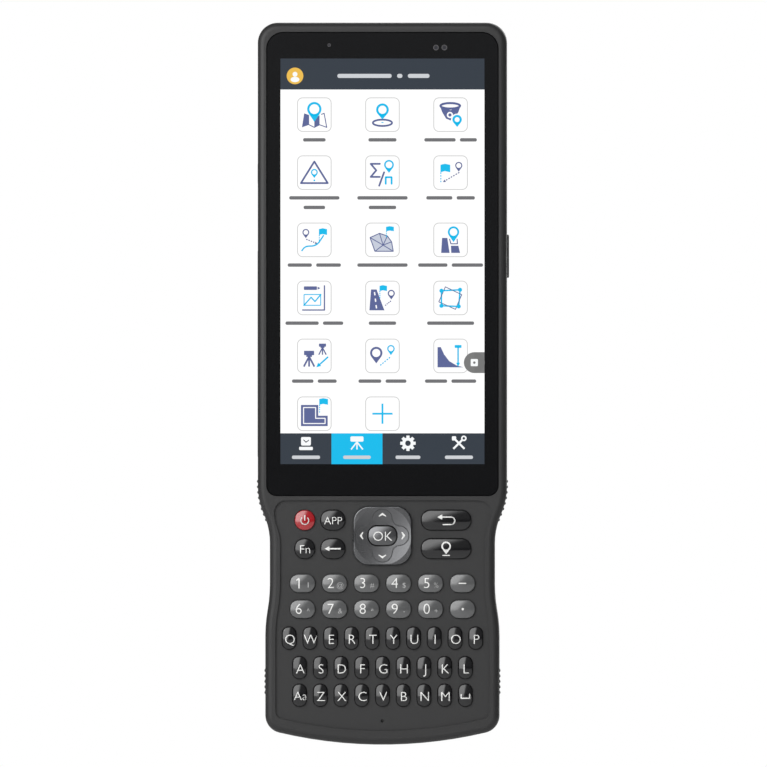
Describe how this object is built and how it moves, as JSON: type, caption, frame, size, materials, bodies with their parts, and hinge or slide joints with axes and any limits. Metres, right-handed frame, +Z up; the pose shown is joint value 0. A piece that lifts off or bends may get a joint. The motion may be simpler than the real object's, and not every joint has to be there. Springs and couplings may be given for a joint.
{
  "type": "handheld data collector",
  "caption": "Rugged handheld field controller with a tall touch display above a waisted keypad, side keys, socket door and a lift-off battery pack.",
  "frame": {"origin": "centre of the four threaded bracket inserts, on the flat back of the housing", "axes": "+X to the user's right when facing the display, +Z up along the housing towards its top edge, display facing -Y, back facing +Y"},
  "size_m": [0.0771, 0.0171, 0.2213],
  "materials": {
    "housing_plastic": "fine moulded texture, dark charcoal",
    "black_keys": "gloss black caps",
    "grey_keys": "gloss smoke grey caps",
    "red_key": "gloss red cap",
    "pad_metal_look": "satin gunmetal lacquer",
    "side_rubber": "matte dark rubber",
    "cover_glass": "polished, black printed border",
    "display_panel": "lit display",
    "silicone": "translucent grey silicone",
    "circuit_board": "green solder mask",
    "battery_wrap": "black shrink wrap",
    "screw_steel": "blackened steel"
  },
  "bodies": {
    "root": {"front_housing": "housing_plastic", "rear_housing": "housing_plastic", "cover_glass": "cover_glass", "display_module": "display_panel", "keypad_mat": "silicone", "main_board": "circuit_board", "case_screws": "screw_steel"},
    "battery": {"battery_cover": "housing_plastic", "battery_pack": "battery_wrap"},
    "port_cover": {"port_cover": "side_rubber"},
    "direction_pad": {"direction_pad": "pad_metal_look"},
    "measure_key": {"measure_key": "side_rubber"},
    "user_key": {"user_key": "side_rubber"},
    "key_power": {"key_power": "red_key"},
    "key_ok": {"key_ok": "pad_metal_look"},
    "key_app": {"key_app": "black_keys"},
    "key_fn": {"key_fn": "black_keys"},
    "key_erase": {"key_erase": "black_keys"},
    "key_return": {"key_return": "black_keys"},
    "key_locate": {"key_locate": "black_keys"},
    "key_1": {"key_1": "grey_keys"},
    "key_2": {"key_2": "grey_keys"},
    "key_3": {"key_3": "grey_keys"},
    "key_4": {"key_4": "grey_keys"},
    "key_5": {"key_5": "grey_keys"},
    "key_minus": {"key_minus": "grey_keys"},
    "key_6": {"key_6": "grey_keys"},
    "key_7": {"key_7": "grey_keys"},
    "key_8": {"key_8": "grey_keys"},
    "key_9": {"key_9": "grey_keys"},
    "key_0": {"key_0": "grey_keys"},
    "key_point": {"key_point": "grey_keys"},
    "key_q": {"key_q": "black_keys"},
    "key_w": {"key_w": "black_keys"},
    "key_e": {"key_e": "black_keys"},
    "key_r": {"key_r": "black_keys"},
    "key_t": {"key_t": "black_keys"},
    "key_y": {"key_y": "black_keys"},
    "key_u": {"key_u": "black_keys"},
    "key_i": {"key_i": "black_keys"},
    "key_o": {"key_o": "black_keys"},
    "key_p": {"key_p": "black_keys"},
    "key_a": {"key_a": "black_keys"},
    "key_s": {"key_s": "black_keys"},
    "key_d": {"key_d": "black_keys"},
    "key_f": {"key_f": "black_keys"},
    "key_g": {"key_g": "black_keys"},
    "key_h": {"key_h": "black_keys"},
    "key_j": {"key_j": "black_keys"},
    "key_k": {"key_k": "black_keys"},
    "key_l": {"key_l": "black_keys"},
    "key_shift": {"key_shift": "black_keys"},
    "key_z": {"key_z": "black_keys"},
    "key_x": {"key_x": "black_keys"},
    "key_c": {"key_c": "black_keys"},
    "key_v": {"key_v": "black_keys"},
    "key_b": {"key_b": "black_keys"},
    "key_n": {"key_n": "black_keys"},
    "key_m": {"key_m": "black_keys"},
    "key_space": {"key_space": "black_keys"}
  },
  "joints": [
    {"name": "battery_lift", "type": "slide", "parent": "root", "child": "battery", "axis": [0, 1, 0], "range_m": [0, 0.03]},
    {"name": "cover_swing", "type": "hinge", "parent": "root", "child": "port_cover", "pos_m": [-0.03755, -0.00725, -0.083], "axis": [0, 0, -1], "range_deg": [0, 100]},
    {"name": "direction_pad_rock", "type": "hinge", "parent": "root", "child": "direction_pad", "pos_m": [0, -0.01385, -0.1072], "axis": [1, 0, 0], "range_deg": [-2.5, 2.5], "stiffness_Nm_per_rad": 0.2},
    {"name": "key_measure_press", "type": "slide", "parent": "root", "child": "measure_key", "axis": [-1, 0, 0], "range_m": [0, 0.0004], "stiffness_N_per_m": 2500},
    {"name": "key_user_press", "type": "slide", "parent": "root", "child": "user_key", "axis": [1, 0, 0], "range_m": [0, 0.0004], "stiffness_N_per_m": 2500},
    {"name": "key_power_press", "type": "slide", "parent": "root", "child": "key_power", "axis": [0, 1, 0], "range_m": [0, 0.00035], "stiffness_N_per_m": 2500},
    {"name": "key_ok_press", "type": "slide", "parent": "root", "child": "key_ok", "axis": [0, 1, 0], "range_m": [0, 0.00035], "stiffness_N_per_m": 2500},
    {"name": "key_app_press", "type": "slide", "parent": "root", "child": "key_app", "axis": [0, 1, 0], "range_m": [0, 0.00035], "stiffness_N_per_m": 2500},
    {"name": "key_fn_press", "type": "slide", "parent": "root", "child": "key_fn", "axis": [0, 1, 0], "range_m": [0, 0.00035], "stiffness_N_per_m": 2500},
    {"name": "key_erase_press", "type": "slide", "parent": "root", "child": "key_erase", "axis": [0, 1, 0], "range_m": [0, 0.00035], "stiffness_N_per_m": 2500},
    {"name": "key_return_press", "type": "slide", "parent": "root", "child": "key_return", "axis": [0, 1, 0], "range_m": [0, 0.00035], "stiffness_N_per_m": 2500},
    {"name": "key_locate_press", "type": "slide", "parent": "root", "child": "key_locate", "axis": [0, 1, 0], "range_m": [0, 0.00035], "stiffness_N_per_m": 2500},
    {"name": "key_1_press", "type": "slide", "parent": "root", "child": "key_1", "axis": [0, 1, 0], "range_m": [0, 0.00035], "stiffness_N_per_m": 2500},
    {"name": "key_2_press", "type": "slide", "parent": "root", "child": "key_2", "axis": [0, 1, 0], "range_m": [0, 0.00035], "stiffness_N_per_m": 2500},
    {"name": "key_3_press", "type": "slide", "parent": "root", "child": "key_3", "axis": [0, 1, 0], "range_m": [0, 0.00035], "stiffness_N_per_m": 2500},
    {"name": "key_4_press", "type": "slide", "parent": "root", "child": "key_4", "axis": [0, 1, 0], "range_m": [0, 0.00035], "stiffness_N_per_m": 2500},
    {"name": "key_5_press", "type": "slide", "parent": "root", "child": "key_5", "axis": [0, 1, 0], "range_m": [0, 0.00035], "stiffness_N_per_m": 2500},
    {"name": "key_minus_press", "type": "slide", "parent": "root", "child": "key_minus", "axis": [0, 1, 0], "range_m": [0, 0.00035], "stiffness_N_per_m": 2500},
    {"name": "key_6_press", "type": "slide", "parent": "root", "child": "key_6", "axis": [0, 1, 0], "range_m": [0, 0.00035], "stiffness_N_per_m": 2500},
    {"name": "key_7_press", "type": "slide", "parent": "root", "child": "key_7", "axis": [0, 1, 0], "range_m": [0, 0.00035], "stiffness_N_per_m": 2500},
    {"name": "key_8_press", "type": "slide", "parent": "root", "child": "key_8", "axis": [0, 1, 0], "range_m": [0, 0.00035], "stiffness_N_per_m": 2500},
    {"name": "key_9_press", "type": "slide", "parent": "root", "child": "key_9", "axis": [0, 1, 0], "range_m": [0, 0.00035], "stiffness_N_per_m": 2500},
    {"name": "key_0_press", "type": "slide", "parent": "root", "child": "key_0", "axis": [0, 1, 0], "range_m": [0, 0.00035], "stiffness_N_per_m": 2500},
    {"name": "key_point_press", "type": "slide", "parent": "root", "child": "key_point", "axis": [0, 1, 0], "range_m": [0, 0.00035], "stiffness_N_per_m": 2500},
    {"name": "key_q_press", "type": "slide", "parent": "root", "child": "key_q", "axis": [0, 1, 0], "range_m": [0, 0.00035], "stiffness_N_per_m": 2500},
    {"name": "key_w_press", "type": "slide", "parent": "root", "child": "key_w", "axis": [0, 1, 0], "range_m": [0, 0.00035], "stiffness_N_per_m": 2500},
    {"name": "key_e_press", "type": "slide", "parent": "root", "child": "key_e", "axis": [0, 1, 0], "range_m": [0, 0.00035], "stiffness_N_per_m": 2500},
    {"name": "key_r_press", "type": "slide", "parent": "root", "child": "key_r", "axis": [0, 1, 0], "range_m": [0, 0.00035], "stiffness_N_per_m": 2500},
    {"name": "key_t_press", "type": "slide", "parent": "root", "child": "key_t", "axis": [0, 1, 0], "range_m": [0, 0.00035], "stiffness_N_per_m": 2500},
    {"name": "key_y_press", "type": "slide", "parent": "root", "child": "key_y", "axis": [0, 1, 0], "range_m": [0, 0.00035], "stiffness_N_per_m": 2500},
    {"name": "key_u_press", "type": "slide", "parent": "root", "child": "key_u", "axis": [0, 1, 0], "range_m": [0, 0.00035], "stiffness_N_per_m": 2500},
    {"name": "key_i_press", "type": "slide", "parent": "root", "child": "key_i", "axis": [0, 1, 0], "range_m": [0, 0.00035], "stiffness_N_per_m": 2500},
    {"name": "key_o_press", "type": "slide", "parent": "root", "child": "key_o", "axis": [0, 1, 0], "range_m": [0, 0.00035], "stiffness_N_per_m": 2500},
    {"name": "key_p_press", "type": "slide", "parent": "root", "child": "key_p", "axis": [0, 1, 0], "range_m": [0, 0.00035], "stiffness_N_per_m": 2500},
    {"name": "key_a_press", "type": "slide", "parent": "root", "child": "key_a", "axis": [0, 1, 0], "range_m": [0, 0.00035], "stiffness_N_per_m": 2500},
    {"name": "key_s_press", "type": "slide", "parent": "root", "child": "key_s", "axis": [0, 1, 0], "range_m": [0, 0.00035], "stiffness_N_per_m": 2500},
    {"name": "key_d_press", "type": "slide", "parent": "root", "child": "key_d", "axis": [0, 1, 0], "range_m": [0, 0.00035], "stiffness_N_per_m": 2500},
    {"name": "key_f_press", "type": "slide", "parent": "root", "child": "key_f", "axis": [0, 1, 0], "range_m": [0, 0.00035], "stiffness_N_per_m": 2500},
    {"name": "key_g_press", "type": "slide", "parent": "root", "child": "key_g", "axis": [0, 1, 0], "range_m": [0, 0.00035], "stiffness_N_per_m": 2500},
    {"name": "key_h_press", "type": "slide", "parent": "root", "child": "key_h", "axis": [0, 1, 0], "range_m": [0, 0.00035], "stiffness_N_per_m": 2500},
    {"name": "key_j_press", "type": "slide", "parent": "root", "child": "key_j", "axis": [0, 1, 0], "range_m": [0, 0.00035], "stiffness_N_per_m": 2500},
    {"name": "key_k_press", "type": "slide", "parent": "root", "child": "key_k", "axis": [0, 1, 0], "range_m": [0, 0.00035], "stiffness_N_per_m": 2500},
    {"name": "key_l_press", "type": "slide", "parent": "root", "child": "key_l", "axis": [0, 1, 0], "range_m": [0, 0.00035], "stiffness_N_per_m": 2500},
    {"name": "key_shift_press", "type": "slide", "parent": "root", "child": "key_shift", "axis": [0, 1, 0], "range_m": [0, 0.00035], "stiffness_N_per_m": 2500},
    {"name": "key_z_press", "type": "slide", "parent": "root", "child": "key_z", "axis": [0, 1, 0], "range_m": [0, 0.00035], "stiffness_N_per_m": 2500},
    {"name": "key_x_press", "type": "slide", "parent": "root", "child": "key_x", "axis": [0, 1, 0], "range_m": [0, 0.00035], "stiffness_N_per_m": 2500},
    {"name": "key_c_press", "type": "slide", "parent": "root", "child": "key_c", "axis": [0, 1, 0], "range_m": [0, 0.00035], "stiffness_N_per_m": 2500},
    {"name": "key_v_press", "type": "slide", "parent": "root", "child": "key_v", "axis": [0, 1, 0], "range_m": [0, 0.00035], "stiffness_N_per_m": 2500},
    {"name": "key_b_press", "type": "slide", "parent": "root", "child": "key_b", "axis": [0, 1, 0], "range_m": [0, 0.00035], "stiffness_N_per_m": 2500},
    {"name": "key_n_press", "type": "slide", "parent": "root", "child": "key_n", "axis": [0, 1, 0], "range_m": [0, 0.00035], "stiffness_N_per_m": 2500},
    {"name": "key_m_press", "type": "slide", "parent": "root", "child": "key_m", "axis": [0, 1, 0], "range_m": [0, 0.00035], "stiffness_N_per_m": 2500},
    {"name": "key_space_press", "type": "slide", "parent": "root", "child": "key_space", "axis": [0, 1, 0], "range_m": [0, 0.00035], "stiffness_N_per_m": 2500}
  ]
}
